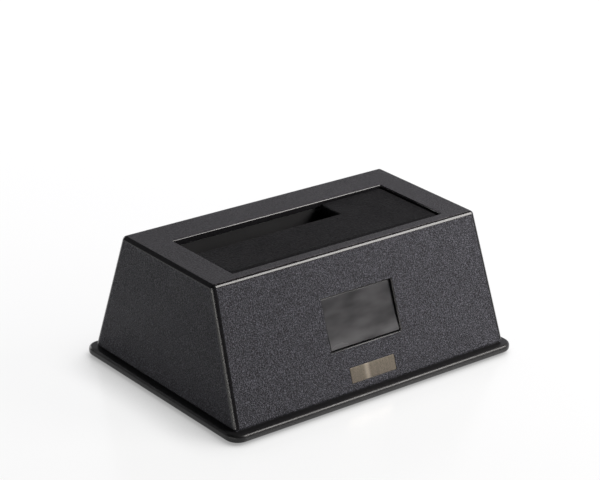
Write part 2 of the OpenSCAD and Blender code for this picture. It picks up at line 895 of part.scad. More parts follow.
module flap_spring() {
    step = 30;
    coil = [
        for (a = [90 : step : 180 + 360 * spring_turns])
        [spring_x + (a - 90) / 360 * spring_pitch, hinge_y + spring_r * cos(a), z_hinge + spring_r * sin(a)]
    ];
    last = coil[len(coil) - 1];
    path = concat([coil[0] + [0, leg_up, 0]], coil, [last - [0, 0, leg_down]]);
    echo(flap_turn_gap = least_gap(coil, spring_wire, 360 / step - 2));
    color(steel_colour)
        wire(path, spring_wire / 2, [1, 0, 0]);
}

module badge_plate() {
    color("#141416")
        on_front(badge_x, badge_up)
            centred_box([badge_w - 2 * badge_gap, badge_h - 2 * badge_gap, badge_t], -badge_depth - badge_t);
}

module status_lens() {
    flange = [lens_w + 2 * lens_flange, lens_h + 2 * lens_flange, lens_flange_t];
    color("#b5a894")
        on_front(lens_x, lens_up) {
            centred_box([lens_w, lens_h, wall + eps], -wall - eps);
            centred_box(flange, -wall - lens_flange_t);
        }
}

module status_led() {
    color("#e8e8f0")
        translate([lens_x, board_front + led_d / 2, 0])
            centred_box([led_w, led_d, led_h], z_board - led_h);
}

module circuit_board() {
    color("#1d4f31")
        difference() {
            translate([-board_w / 2, board_front, z_board])
                cube([board_w, board_back - board_front, board_t]);
            at_board_screws()
                translate([0, 0, z_board - over])
                    cylinder(h = board_t + 2 * over, r = small_screw_d / 2 + hole_gap);
        }
}

module board_screws() {
    color(steel_colour)
        at_board_screws()
            translate([0, 0, z_parts])
                screw(small_screw_d, small_screw_head_d, small_screw_l);
}

// One tongue slot of the drive socket with its key
module tongue_hole(x, w) {
    translate([x, socket_y - tongue_slot / 2, z_socket - tongue_deep])
        cube([w, tongue_slot, tongue_deep + over]);
    translate([x + w - key_l, socket_y, z_socket - tongue_deep])
        cube([key_l, tongue_slot / 2 + key_l / 2, tongue_deep + over]);
}

module sata_socket() {
    color("#0e0e10")
        difference() {
            translate([socket_x, socket_y, 0])
                centred_box([socket_w, socket_t, z_socket - z_parts], z_parts);
            tongue_hole(power_x, power_w);
            tongue_hole(signal_x, signal_w);
        }
}

// Row of contacts against the front wall of a tongue slot
module contact_row(x, count) {
    wall_y = socket_y - tongue_slot / 2;
    for (i = [1 : count])
        translate([x + i * contact_pitch - contact_w / 2, wall_y, z_socket - tongue_deep])
            cube([contact_w, contact_t, tongue_deep - contact_w]);
}

module sata_contacts() {
    color(gold_colour) {
        contact_row(power_x, power_count);
        contact_row(signal_x, signal_count);
    }
}

module bridge_chip() {
    color("#151517")
        translate([chip_x, chip_y, 0])
            centred_box([chip_w, chip_w, chip_h], z_parts);
}

module memory_chip() {
    color("#151517")
        translate([chip_x + chip_w / 2 + memory_gap + memory_w / 2, chip_y, 0])
            centred_box([memory_w, memory_d, memory_h], z_parts);
}

module crystal() {
    straight = crystal_l - crystal_w;
    color(steel_colour)
        translate([chip_x, front_room, z_parts]) {
            centred_box([straight, crystal_w, crystal_h], 0);
            for (side = [-1, 1])
                translate([side * straight / 2, 0, 0])
                    cylinder(h = crystal_h, d = crystal_w);
        }
}

module capacitors() {
    color("#6f7f8c")
        for (i = [0, 1])
            translate([cap_x + i * cap_pitch, front_room, z_parts])
                cylinder(h = cap_h, d = cap_d);
}

module inductor() {
    color("#3a3a3c")
        translate([coil_x, front_room, 0])
            centred_box([coil_w, coil_w, coil_h], z_parts);
}

// Block with the data port's outline set in all round, from a place along Y
module usb_block(inset, y, length) {
    w = usb_w / 2 - inset;
    h = usb_h / 2 - inset;
    cut = usb_cut - inset * (2 - sqrt(2));
    translate([0, y + length, z_port])
        rotate([90, 0, 0])
            linear_extrude(length)
                polygon([[-w, -h], [w, -h], [w, h - cut], [w - cut, h], [cut - w, h], [-w, h - cut]]);
}

module usb_shell() {
    color(steel_colour)
        difference() {
            usb_block(0, usb_front, usb_l);
            usb_block(usb_t, usb_front + usb_t, usb_l);
        }
}

module usb_tongue() {
    inside = usb_front + usb_t;
    color("#d9d9d6") {
        usb_block(usb_t, inside, usb_back_t);
        translate([0, inside + usb_back_t + tongue_l / 2, 0])
            centred_box([tongue_w, tongue_l + 2 * eps, tongue_h], z_port - tongue_h / 2);
    }
}

module usb_contacts() {
    inside = usb_front + usb_t + usb_back_t;
    color(gold_colour)
        for (side = [-1, 1])
            for (low = [z_port - tongue_h / 2 - contact_t, z_port + tongue_h / 2])
                translate([side * tongue_w / 4, inside + tongue_l / 2, 0])
                    centred_box([usb_contact_w, tongue_l - usb_contact_back, contact_t], low);
}

module dc_jack() {
    color("#0e0e10")
        difference() {
            union() {
                translate([jack_x, panel_in - jack_l / 2, 0])
                    centred_box([jack_w, jack_l, usb_h], z_parts);
                rod_y(jack_x, panel_in - eps, z_port, collar_r, panel_t + eps);
            }
            rod_y(jack_x, panel_y - jack_deep, z_port, jack_bore_d / 2, jack_deep + over);
        }
}

module dc_pin() {
    color(steel_colour)
        rod_y(jack_x, panel_y - jack_deep, z_port, jack_pin_d / 2, jack_deep - jack_pin_back);
}

module switch_body() {
    bore_end = switch_front - plunger_in - button_travel - rim_play;
    color("#1c1c1f")
        difference() {
            translate([button_x, switch_front - switch_w / 2, 0])
                centred_box([switch_w, switch_w, usb_h], z_parts);
            rod_y(button_x, bore_end, z_port, plunger_d / 2 + pin_gap, switch_w);
        }
}

module switch_plunger() {
    plunger_end = switch_front - plunger_in;
    color("#e6e6e2")
        rod_y(button_x, plunger_end, z_port, plunger_d / 2, rim_back - plunger_end);
}

module button_spring() {
    step = 30;
    room = rim_back - switch_front - button_wire - 2 * button_spring_gap;
    count = button_spring_turns * 360 / step;
    path = [
        for (i = [0 : count])
        [
            button_x + button_spring_r * cos(i * step),
            switch_front + button_wire / 2 + button_spring_gap + room * i / count,
            z_port + button_spring_r * sin(i * step)
        ]
    ];
    echo(button_turn_gap = least_gap(path, button_wire, 360 / step - 2));
    color(steel_colour)
        wire(path, button_wire / 2, [0, 1, 0]);
}

module power_button() {
    dish_r = 3 * button_d;
    soft = 0.6;
    front = panel_y + button_out;
    color("#2e2e33")
        difference() {
            union() {
                rod_y(button_x, rim_back, z_port, button_d / 2 + rim_w, rim_t);
                rod_y(button_x, rim_back, z_port, button_d / 2, front - soft - rim_back);
                translate([button_x, front - soft - eps, z_port])
                    rotate([-90, 0, 0])
                        cylinder(h = soft + eps, r1 = button_d / 2, r2 = button_d / 2 - soft);
            }
            translate([button_x, front + dish_r - soft / 2, z_port])
                sphere(dish_r, $fn = 96);
        }
}

upper_housing();
base_plate();
rubber_feet();
base_screws();
drive_bay();
bay_screws();
flap();
hinge_pin();
flap_spring();
badge_plate();
status_lens();
status_led();
circuit_board();
board_screws();
sata_socket();
sata_contacts();
bridge_chip();
memory_chip();
crystal();
capacitors();
inductor();
usb_shell();
usb_tongue();
usb_contacts();
dc_jack();
dc_pin();
switch_body();
switch_plunger();
button_spring();
power_button();
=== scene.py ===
import json
import math

import bmesh
import bpy
from mathutils import Matrix, Vector


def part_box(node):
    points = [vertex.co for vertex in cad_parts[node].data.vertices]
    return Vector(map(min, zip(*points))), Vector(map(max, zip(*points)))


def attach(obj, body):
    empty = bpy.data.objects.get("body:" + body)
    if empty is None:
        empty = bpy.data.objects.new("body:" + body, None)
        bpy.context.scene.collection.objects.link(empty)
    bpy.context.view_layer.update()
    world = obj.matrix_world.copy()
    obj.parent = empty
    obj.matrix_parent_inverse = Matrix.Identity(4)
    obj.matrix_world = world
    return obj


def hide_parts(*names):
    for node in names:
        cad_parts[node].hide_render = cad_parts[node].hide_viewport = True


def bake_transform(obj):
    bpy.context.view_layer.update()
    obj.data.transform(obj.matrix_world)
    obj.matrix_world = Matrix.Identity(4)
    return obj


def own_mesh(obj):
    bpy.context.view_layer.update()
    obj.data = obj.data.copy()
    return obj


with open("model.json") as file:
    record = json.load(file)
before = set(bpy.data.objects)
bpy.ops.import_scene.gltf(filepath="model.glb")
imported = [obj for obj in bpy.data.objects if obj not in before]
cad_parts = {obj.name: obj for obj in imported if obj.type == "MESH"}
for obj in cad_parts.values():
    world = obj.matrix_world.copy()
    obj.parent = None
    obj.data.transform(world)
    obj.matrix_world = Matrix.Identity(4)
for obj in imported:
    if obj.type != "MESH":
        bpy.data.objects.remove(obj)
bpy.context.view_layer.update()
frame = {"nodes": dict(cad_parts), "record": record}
nodes = frame["nodes"]
behaviour = frame["record"]["behaviour"]

MM = 0.001

# Camera fitted to the photograph: focal length in its pixels, place in metres, angles in degrees
PHOTO_W = 600
FOCAL_PX = 2190.69
CAMERA_PLACE = Vector((-0.50578, -0.58685, 0.37516))
AZIMUTH = -40.57
ELEVATION = 22.91
ROLL = 2.69
SENSOR = 36.0

# Lean of the shell's front, back and sides from the vertical, the ways that these slopes face, and the least cosine
# between two faces that look the same way
FRONT_LEAN = math.radians(21.5)
BACK_LEAN = math.radians(14.9)
SIDE_LEAN = math.radians(2.75)
SLOPES = (
    Vector((0, -math.cos(FRONT_LEAN), math.sin(FRONT_LEAN))),
    Vector((0, math.cos(BACK_LEAN), math.sin(BACK_LEAN))),
    Vector((math.cos(SIDE_LEAN), 0, math.sin(SIDE_LEAN))),
    Vector((-math.cos(SIDE_LEAN), 0, math.sin(SIDE_LEAN))),
)
SAME_WAY = 0.9999

# Rounding of the pieces' small edges, of the pieces with finer ones, and of the chamfered mouths of slot and window,
# with the turns in degrees between which an edge of a chamfer lies
EDGE = 0.12 * MM
EDGE_WIDTH = {"sata_contacts": 0.05 * MM}
MOUTH_EDGE = 0.2 * MM
MOUTH_TURNS = (40.0, 50.0)
SHARP_TURNS = (35.0, 180.0)

# Meshes: distances within which points are one before and after rounding, the turn below which faces are one, and
# how far the large faces of a piece lead its shading, in percent
SAME_POINT = 0.002 * MM
SAME_POINT_ROUNDED = 0.0003 * MM
FLAT_TURN = math.radians(0.2)
FLAT_LEAD = 60

# Window sheet: thickness, border rounding, lift of its lower and left borders, more gap below it, the shares of its
# height and width where those lifts end, and its grid
BADGE_T = 0.9 * MM
BADGE_BORDER = 0.2 * MM
BADGE_LIFT_LOW = 0.7 * MM
BADGE_LIFT_LEFT = 0.35 * MM
BADGE_GAP_LOW = 0.25 * MM
BADGE_FLAT_UP = 0.8
BADGE_FLAT_SIDE = 0.2
BADGE_COLUMNS, BADGE_ROWS = 30, 14

# Springs: wire diameters, turns, the torsion spring's radius, rings of wire to a turn and sides to a ring. The torsion
# spring has a quarter turn more, so that its legs stand square to each other.
FLAP_WIRE = 0.7 * MM
FLAP_SPRING_R = 1.7 * MM
FLAP_SPRING_TURNS = 6.25
BUTTON_WIRE = 0.5 * MM
BUTTON_SPRING_TURNS = 2.5
TURN_STEPS = 32
WIRE_SIDES = 12

# Fine lines on metal: their width and length
LINE_WIDTH = 0.05 * MM
LINE_LENGTH = 4 * MM

# Floor: half its side, how far the contact shadow and the wide one reach, the wide one's lean, and the floor's glow
FLOOR_HALF = 6.0
CONTACT_REACH = 4 * MM
SHADOW_REACH = 22 * MM
SHADOW_LEAN = (0.8, 0.0, 0.0)
FLOOR_GLOW = 0.88

# World: the way to the white sweep, and the tint of its light
SWEEP = (0.7, 0.7, 0)
SKY = (0.99, 0.975, 1.03)

# Point that the lamps aim at
LIT_POINT = Vector((0, 0, 30 * MM))

# What the record says of the joints, and each node's body and finish
JOINTS = {joint["name"]: joint for joint in behaviour["joints"]}
HINGE = Vector(JOINTS["flap_hinge"]["pos_m"])
BODY_OF = {node: body for body, members in behaviour["bodies"].items() for node in members}
SLOT_OF = {row["node"]: row["material_slot"] for row in frame["record"]["subparts"]}

# Limits of a Map Range node, and the axes' places in a vector
RAMP_SOCKETS = ("From Min", "From Max", "To Min", "To Max")
X, Y, Z = range(3)


class Tree:
    """A material's node tree with its surface shader, and short calls that add nodes to it."""

    def __init__(self, name, **sockets):
        self.material = bpy.data.materials.new(name)
        self.material.use_nodes = True
        self.nodes = self.material.node_tree.nodes
        self.links = self.material.node_tree.links
        self.shader = self.nodes["Principled BSDF"]
        for socket, value in sockets.items():
            self.shader.inputs[socket.replace("_", " ")].default_value = value
        coordinates = self.add("ShaderNodeTexCoord").outputs
        self.place, self.facing = coordinates["Object"], coordinates["Normal"]

    def add(self, kind, **settings):
        node = self.nodes.new(kind)
        for key, value in settings.items():
            setattr(node, key, value)
        return node

    def put(self, socket, value):
        """Links an output to a socket, or sets the socket to a plain value."""
        if isinstance(value, bpy.types.NodeSocket):
            self.links.new(value, socket)
        else:
            socket.default_value = value

    def surface(self, **sockets):
        for socket, value in sockets.items():
            self.put(self.shader.inputs[socket.replace("_", " ")], value)

    def stretch(self, scale):
        node = self.add("ShaderNodeMapping")
        self.put(node.inputs["Vector"], self.place)
        self.put(node.inputs["Scale"], scale)
        return node.outputs["Vector"]

    def noise(self, size, detail=2.0, roughness=0.5, vector=None):
        """Noise whose spots are about size metres across."""
        node = self.add("ShaderNodeTexNoise")
        self.put(node.inputs["Vector"], vector or self.place)
        self.put(node.inputs["Scale"], 1 / size)
        self.put(node.inputs["Detail"], detail)
        self.put(node.inputs["Roughness"], roughness)
        return node.outputs["Fac"]

    def pebbles(self, size):
        node = self.add("ShaderNodeTexVoronoi", feature="SMOOTH_F1")
        self.put(node.inputs["Vector"], self.place)
        self.put(node.inputs["Scale"], 1 / size)
        return node.outputs["Distance"]

    def ramp(self, value, low, high, to_low=0.0, to_high=1.0):
        node = self.add("ShaderNodeMapRange", interpolation_type="SMOOTHSTEP")
        self.put(node.inputs["Value"], value)
        for socket, number in zip(RAMP_SOCKETS, (low, high, to_low, to_high)):
            self.put(node.inputs[socket], number)
        return node.outputs["Result"]

    def math(self, operation, a, b=0.0):
        node = self.add("ShaderNodeMath", operation=operation)
        self.put(node.inputs[0], a)
        self.put(node.inputs[1], b)
        return node.outputs["Value"]

    def mix(self, factor, a, b):
        node = self.add("ShaderNodeMix", data_type="RGBA")
        self.put(node.inputs["Factor"], factor)
        self.put(node.inputs["A"], a)
        self.put(node.inputs["B"], b)
        return node.outputs["Result"]

    def bump(self, height, strength, depth):
        node = self.add("ShaderNodeBump")
        self.put(node.inputs["Height"], height)
        self.put(node.inputs["Strength"], strength)
        self.put(node.inputs["Distance"], depth)
        return node.outputs["Normal"]


def rgb(red, green, blue):
    return (red, green, blue, 1.0)


def moulded_plastic(name, dark, light, roughness, grain, depth, strength, **sockets):
    """Moulded plastic with an even grain."""
    tree = Tree(name, **sockets)
    pits = tree.noise(grain, 3.0, 0.6)
    height = tree.math("ADD", pits, tree.math("MULTIPLY", tree.pebbles(grain * 1.3), 0.6))
    haze = tree.noise(14 * MM, 4.0, 0.6)
    tree.surface(
        Base_Color=tree.mix(tree.ramp(pits, 0.35, 0.7), dark, light),
        Roughness=tree.ramp(haze, 0.3, 0.7, roughness - 0.04, roughness + 0.04),
        Normal=tree.bump(height, strength, depth),
    )
    return tree.material


def shell_plastic():
    """Black plastic of the shell's smooth rounded edges, duller where they turn into its level top."""
    tree = Tree("shell_plastic", Specular_IOR_Level=0.4)
    facing = tree.add("ShaderNodeSeparateXYZ")
    tree.put(facing.inputs["Vector"], tree.facing)
    top = tree.ramp(facing.outputs["Z"], 0.95, 0.998)
    fine = tree.noise(0.55 * MM, 2.0, 0.5)
    haze = tree.noise(16 * MM, 4.0, 0.6)
    tree.surface(
        Base_Color=tree.mix(tree.ramp(fine, 0.35, 0.7), rgb(0.009, 0.0088, 0.0098), rgb(0.014, 0.0137, 0.0155)),
        Roughness=tree.math("ADD", tree.ramp(haze, 0.3, 0.7, 0.17, 0.21), tree.math("MULTIPLY", top, 0.2)),
        Normal=tree.bump(tree.math("MULTIPLY", fine, top), 0.8, 0.25 * MM),
    )
    return tree.material


def shell_top():
    """The same plastic with the fine satin grain of the shell's level top."""
    tree = Tree("shell_top", Specular_IOR_Level=0.1)
    fine = tree.noise(0.55 * MM, 2.0, 0.5)
    haze = tree.noise(16 * MM, 4.0, 0.6)
    tree.surface(
        Base_Color=tree.mix(tree.ramp(fine, 0.35, 0.7), rgb(0.0235, 0.023, 0.0257), rgb(0.072, 0.0706, 0.0777)),
        Roughness=tree.ramp(haze, 0.3, 0.7, 0.38, 0.42),
        Normal=tree.bump(fine, 0.8, 0.25 * MM),
    )
    return tree.material


def shell_grain():
    """The same plastic with the coarse moulded grain of the shell's four slopes, whose lighter colour specks are
    partly the grain's own tone and partly painted glints.
    """
    tree = Tree("shell_grain", Specular_IOR_Level=0.08)
    coarse = tree.noise(0.42 * MM, 3.0, 0.6)
    pebble = tree.pebbles(0.58 * MM)
    haze = tree.noise(16 * MM, 4.0, 0.6)
    height = tree.math("ADD", coarse, tree.math("MULTIPLY", pebble, 0.5))
    tree.surface(
        # Lighter specks where the coarse grain rises: partly its tone, partly painted glints of the grain catching the
        # lamps.
        Base_Color=tree.mix(tree.ramp(coarse, 0.42, 0.74), rgb(0.026, 0.0261, 0.0302), rgb(0.17, 0.1705, 0.199)),
        Roughness=tree.ramp(haze, 0.3, 0.7, 0.36, 0.42),
        Normal=tree.bump(height, 1.0, 0.42 * MM),
    )
    return tree.material


def brushed_metal(name, dark, light, roughness, along):
    """Metal with fine lines along one axis."""
    tree = Tree(name, Metallic=1.0)
    scale = [1 / LINE_WIDTH] * 3
    scale[along] = 1 / LINE_LENGTH
    lines = tree.noise(1.0, 3.0, vector=tree.stretch(scale))
    tree.surface(
        Base_Color=tree.mix(tree.ramp(lines, 0.3, 0.7), dark, light),
        Roughness=tree.ramp(lines, 0.3, 0.7, roughness - 0.06, roughness + 0.06),
        Normal=tree.bump(lines, 0.15, 0.01 * MM),
    )
    return tree.material


def badge_gloss():
    """Dark glossy sheet with a faint haze and a slight wave."""
    tree = Tree("badge_gloss", Coat_Weight=0.5, Coat_Roughness=0.1)
    haze = tree.noise(1.0, 2.0, 0.4, tree.stretch((70, 170, 170)))
    wave = tree.noise(9 * MM, 1.0)
    tree.surface(
        Base_Color=tree.mix(tree.ramp(haze, 0.25, 0.75), rgb(0.022, 0.0218, 0.0236), rgb(0.066, 0.0656, 0.0695)),
        Roughness=tree.ramp(haze, 0.2, 0.8, 0.22, 0.28),
        Normal=tree.bump(wave, 0.12, 0.5 * MM),
    )
    return tree.material


def lens_satin():
    """Champagne film with a fine grain, and a lighter streak up it that is a painted highlight in its colour."""
    tree = Tree("lens_satin", Metallic=1.0)
    grain = tree.noise(0.36 * MM, 2.0, 0.6)
    lines = tree.noise(1.0, 3.0, 0.6, tree.stretch((1400, 90, 90)))
    across = tree.add("ShaderNodeSeparateXYZ")
    tree.put(across.inputs["Vector"], tree.place)
    # Painted highlight: a band of lighter colour up the film, about 2.9 mm left of its middle, stands in for a
    # reflection.
    off = tree.math("ABSOLUTE", tree.math("ADD", across.outputs["X"], 2.9 * MM))
    painted_highlight = tree.ramp(off, 0.0, 2.0 * MM, 0.5, 0.0)
    tone = tree.math("ADD", tree.math("MULTIPLY", lines, 0.3), tree.math("MULTIPLY", grain, 0.7))
    tone = tree.math("ADD", tree.ramp(tone, 0.3, 0.7, 0.0, 0.3), painted_highlight)
    tree.surface(
        Base_Color=tree.mix(tone, rgb(0.122, 0.106, 0.085), rgb(0.42, 0.372, 0.306)),
        Roughness=tree.ramp(grain, 0.3, 0.7, 0.36, 0.46),
        Normal=tree.bump(grain, 0.15, 0.03 * MM),
    )
    return tree.material


def board_green():
    tree = Tree("board_green", Coat_Weight=0.4, Coat_Roughness=0.2)
    weave = tree.noise(0.5 * MM, 2.0)
    tree.surface(
        Base_Color=tree.mix(tree.ramp(weave, 0.3, 0.7), rgb(0.012, 0.07, 0.03), rgb(0.02, 0.11, 0.045)),
        Roughness=tree.ramp(weave, 0.3, 0.7, 0.3, 0.42),
        Normal=tree.bump(weave, 0.1, 0.02 * MM),
    )
    return tree.material


def led_clear():
    tree = Tree("led_clear", Transmission_Weight=0.6, IOR=1.5)
    cloud = tree.noise(0.6 * MM, 2.0)
    tree.surface(
        Base_Color=tree.mix(cloud, rgb(0.8, 0.8, 0.82), rgb(0.92, 0.92, 0.95)),
        Roughness=tree.ramp(cloud, 0.3, 0.7, 0.08, 0.2),
    )
    return tree.material


PLASTICS = {
    "base_plastic": dict(dark=rgb(0.009, 0.009, 0.0095), light=rgb(0.016, 0.016, 0.017), roughness=0.36,
                         grain=0.4 * MM, depth=0.05 * MM, strength=0.4, Specular_IOR_Level=0.35),
    "flap_plastic": dict(dark=rgb(0.005, 0.005, 0.0055), light=rgb(0.022, 0.0216, 0.0233), roughness=0.5,
                         grain=0.5 * MM, depth=0.2 * MM, strength=1.0, Specular_IOR_Level=0.04),
    "inner_plastic": dict(dark=rgb(0.01, 0.01, 0.011), light=rgb(0.018, 0.018, 0.019), roughness=0.55,
                          grain=0.4 * MM, depth=0.05 * MM, strength=0.4),
    "button_plastic": dict(dark=rgb(0.024, 0.024, 0.027), light=rgb(0.036, 0.036, 0.04), roughness=0.4,
                           grain=0.25 * MM, depth=0.03 * MM, strength=0.3),
    "foot_rubber": dict(dark=rgb(0.012, 0.012, 0.012), light=rgb(0.022, 0.022, 0.022), roughness=0.8,
                        grain=0.35 * MM, depth=0.08 * MM, strength=0.5),
    "chip_black": dict(dark=rgb(0.012, 0.012, 0.013), light=rgb(0.02, 0.02, 0.021), roughness=0.6,
                       grain=0.12 * MM, depth=0.03 * MM, strength=0.3),
    "socket_plastic": dict(dark=rgb(0.012, 0.012, 0.013), light=rgb(0.022, 0.022, 0.023), roughness=0.5,
                           grain=0.2 * MM, depth=0.04 * MM, strength=0.3),
    "port_white": dict(dark=rgb(0.68, 0.68, 0.64), light=rgb(0.78, 0.78, 0.75), roughness=0.45,
                       grain=0.2 * MM, depth=0.03 * MM, strength=0.2),
}
METALS = {
    "screw_steel": dict(dark=rgb(0.42, 0.42, 0.43), light=rgb(0.56, 0.56, 0.57), roughness=0.3, along=Z),
    "spring_steel": dict(dark=rgb(0.38, 0.38, 0.39), light=rgb(0.5, 0.5, 0.51), roughness=0.3, along=X),
    "can_metal": dict(dark=rgb(0.52, 0.53, 0.55), light=rgb(0.66, 0.67, 0.69), roughness=0.32, along=Z),
    "contact_gold": dict(dark=rgb(0.62, 0.43, 0.13), light=rgb(0.8, 0.6, 0.24), roughness=0.25, along=Z),
    "port_steel": dict(dark=rgb(0.42, 0.42, 0.43), light=rgb(0.55, 0.55, 0.56), roughness=0.36, along=Y),
}
MATERIALS = {
    "shell_plastic": shell_plastic(),
    "shell_grain": shell_grain(),
    "shell_top": shell_top(),
    "badge_gloss": badge_gloss(),
    "lens_satin": lens_satin(),
    "led_clear": led_clear(),
    "board_green": board_green(),
}
MATERIALS.update({name: moulded_plastic(name, **look) for name, look in PLASTICS.items()})
MATERIALS.update({name: brushed_metal(name, **look) for name, look in METALS.items()})


def chains(edges):
    """Sorts edges into groups that hang together."""
    left = set(edges)
    for first in edges:
        if first not in left:
            continue
        left.remove(first)
        chain = [first]
        for edge in chain:
            for vertex in edge.verts:
                for other in vertex.link_edges:
                    if other in left:
                        left.remove(other)
                        chain.append(other)
        yield chain


def soften(mesh, width, segments=2, turns=SHARP_TURNS):
    """Rounds a mesh's edges that turn by angles between two limits in degrees, as moulded or pressed edges are.

    Each chain of edges is rounded by itself, so that a narrow place in one doesn't hold back the others, and edges
    shorter than the rounding stay as they are."""
    least, most = turns
    edges = [e for e in mesh.edges if e.is_manifold and e.calc_length() > width
             and least < math.degrees(e.calc_face_angle(0.0)) <= most]
    for chain in list(chains(edges)):
        bmesh.ops.bevel(mesh, geom=chain, offset=width, offset_type="OFFSET", segments=segments, profile=0.5,
                        affect="EDGES", clamp_overlap=True)
    bmesh.ops.remove_doubles(mesh, verts=mesh.verts, dist=SAME_POINT_ROUNDED)


def dressed(mesh, node, *materials):
    """Makes a mesh into the piece that stands in a CAD node's place, with the node's finish unless told another."""
    bmesh.ops.recalc_face_normals(mesh, faces=mesh.faces)
    for face in mesh.faces:
        face.smooth = True
    data = bpy.data.meshes.new(node + "_form")
    mesh.to_mesh(data)
    mesh.free()
    for material in materials or (SLOT_OF[node],):
        data.materials.append(MATERIALS[material])
    piece = bpy.data.objects.new(node + "_form", data)
    bpy.context.scene.collection.objects.link(piece)
    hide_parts(node)
    return piece


def rigid(piece, node):
    """Shades a piece's flat faces evenly up to their rounded edges, and lets it ride on the node's body."""
    even = piece.modifiers.new("even shading", "WEIGHTED_NORMAL")
    even.weight = FLAT_LEAD
    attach(piece, BODY_OF[node])


def cad_mesh(node):
    """A copy of a CAD node's mesh with its flat faces whole again."""
    mesh = bmesh.new()
    mesh.from_mesh(nodes[node].data)
    bmesh.ops.remove_doubles(mesh, verts=mesh.verts, dist=SAME_POINT)
    bmesh.ops.dissolve_limit(mesh, angle_limit=FLAT_TURN, verts=mesh.verts, edges=mesh.edges)
    return mesh


def softened(node):
    """A CAD node with its edges rounded."""
    mesh = cad_mesh(node)
    soften(mesh, EDGE_WIDTH.get(node, EDGE))
    rigid(dressed(mesh, node), node)


def upper_shell():
    """The shell, with the coarse grain on its four slopes, the fine grain on its top and smooth edges between."""
    finishes = ("shell_plastic", "shell_grain", "shell_top")
    mesh = cad_mesh("upper_housing")
    soften(mesh, MOUTH_EDGE, segments=4, turns=MOUTH_TURNS)
    soften(mesh, EDGE)
    top = max(vertex.co.z for vertex in mesh.verts)
    for face in mesh.faces:
        if any(face.normal.dot(slope) > SAME_WAY for slope in SLOPES):
            face.material_index = finishes.index("shell_grain")
        elif face.normal.z > SAME_WAY and top - face.calc_center_median().z < EDGE:
            face.material_index = finishes.index("shell_top")
    rigid(dressed(mesh, "upper_housing", *finishes), "upper_housing")


def reach(node, way):
    """The least and the greatest distance of a CAD node's points along a direction."""
    distances = [vertex.co.dot(way) for vertex in nodes[node].data.vertices]
    return min(distances), max(distances)


def badge_sheet():
    """Glossy sheet in the window, flat at its upper right and lifted a little along its lower and left borders."""
    columns, rows = BADGE_COLUMNS, BADGE_ROWS
    side, up, out = Vector((1, 0, 0)), Vector((0, math.sin(FRONT_LEAN), math.cos(FRONT_LEAN))), SLOPES[0]
    left, right = reach("badge_plate", side)
    low, high = reach("badge_plate", up)
    low += BADGE_GAP_LOW
    back, _ = reach("badge_plate", out)
    mesh = bmesh.new()
    grid = []
    for row in range(rows + 1):
        lower = max(0.0, 1 - row / rows / BADGE_FLAT_UP)
        for column in range(columns + 1):
            outer = max(0.0, 1 - column / columns / BADGE_FLAT_SIDE)
            lift = BADGE_LIFT_LOW * lower ** 2 + BADGE_LIFT_LEFT * outer ** 2
            grid.append(mesh.verts.new(side * (left + (right - left) * column / columns)
                                       + up * (low + (high - low) * row / rows) + out * (back + lift)))
    for row in range(rows):
        for column in range(columns):
            corner = row * (columns + 1) + column
            mesh.faces.new([grid[i] for i in (corner, corner + 1, corner + columns + 2, corner + columns + 1)])
    raised = bmesh.ops.extrude_face_region(mesh, geom=mesh.faces[:])["geom"]
    for element in raised:
        if isinstance(element, bmesh.types.BMVert):
            element.co += out * BADGE_T
    bmesh.ops.recalc_face_normals(mesh, faces=mesh.faces)
    soften(mesh, BADGE_BORDER, segments=3)
    rigid(dressed(mesh, "badge_plate"), "badge_plate")


def wire(points, diameter, across):
    """A round wire along points, with its rings turned to a direction that no stretch of it follows."""
    mesh = bmesh.new()
    angles = [2 * math.pi * k / WIRE_SIDES for k in range(WIRE_SIDES)]
    rings = []
    for i, point in enumerate(points):
        way = (points[min(i + 1, len(points) - 1)] - points[max(i - 1, 0)]).normalized()
        first = way.cross(across).normalized()
        second = way.cross(first)
        rings.append([mesh.verts.new(point + diameter / 2 * (math.cos(a) * first + math.sin(a) * second))
                      for a in angles])
    for ring, other in zip(rings, rings[1:]):
        for k in range(WIRE_SIDES):
            mesh.faces.new((ring[k], ring[k - 1], other[k - 1], other[k]))
    mesh.faces.new(rings[0])
    mesh.faces.new(reversed(rings[-1]))
    bmesh.ops.recalc_face_normals(mesh, faces=mesh.faces)
    return mesh


def flap_spring():
    """Torsion spring on the hinge pin: one leg under the flap, the other on the housing, and the turns between."""
    low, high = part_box("flap_spring")
    first, last = low[0] + FLAP_WIRE / 2, high[0] - FLAP_WIRE / 2
    steps = round(FLAP_SPRING_TURNS * TURN_STEPS)
    coil = []
    for step in range(steps + 1):
        angle = math.pi / 2 + 2 * math.pi * step / TURN_STEPS
        coil.append(Vector((first + (last - first) * step / steps, HINGE.y + FLAP_SPRING_R * math.cos(angle),
                            HINGE.z + FLAP_SPRING_R * math.sin(angle))))
    leg_up, leg_down = coil[0].copy(), coil[-1].copy()
    leg_up.y, leg_down.z = high[1], low[2]
    piece = dressed(wire([leg_up] + coil + [leg_down], FLAP_WIRE, Vector((1, 0, 0))), "flap_spring")
    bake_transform(piece)


def button_spring():
    """Coil spring between the switch and the button's rim, riding on its node's body."""
    low, high = (Vector(corner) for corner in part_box("button_spring"))
    middle = (low + high) / 2
    radius = (high.x - low.x - BUTTON_WIRE) / 2
    steps = round(BUTTON_SPRING_TURNS * TURN_STEPS)
    first, room = low.y + BUTTON_WIRE / 2, high.y - low.y - BUTTON_WIRE
    coil = []
    for step in range(steps + 1):
        angle = 2 * math.pi * step / TURN_STEPS
        coil.append(Vector((middle.x + radius * math.cos(angle), first + room * step / steps,
                            middle.z + radius * math.sin(angle))))
    piece = dressed(wire(coil, BUTTON_WIRE, Vector((0, 1, 0))), "button_spring")
    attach(piece, BODY_OF["button_spring"])
    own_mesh(piece)


OWN_FORMS = {"upper_housing": upper_shell, "badge_plate": badge_sheet, "flap_spring": flap_spring,
             "button_spring": button_spring}
for name in nodes:
    if name in OWN_FORMS:
        OWN_FORMS[name]()
    else:
        softened(name)


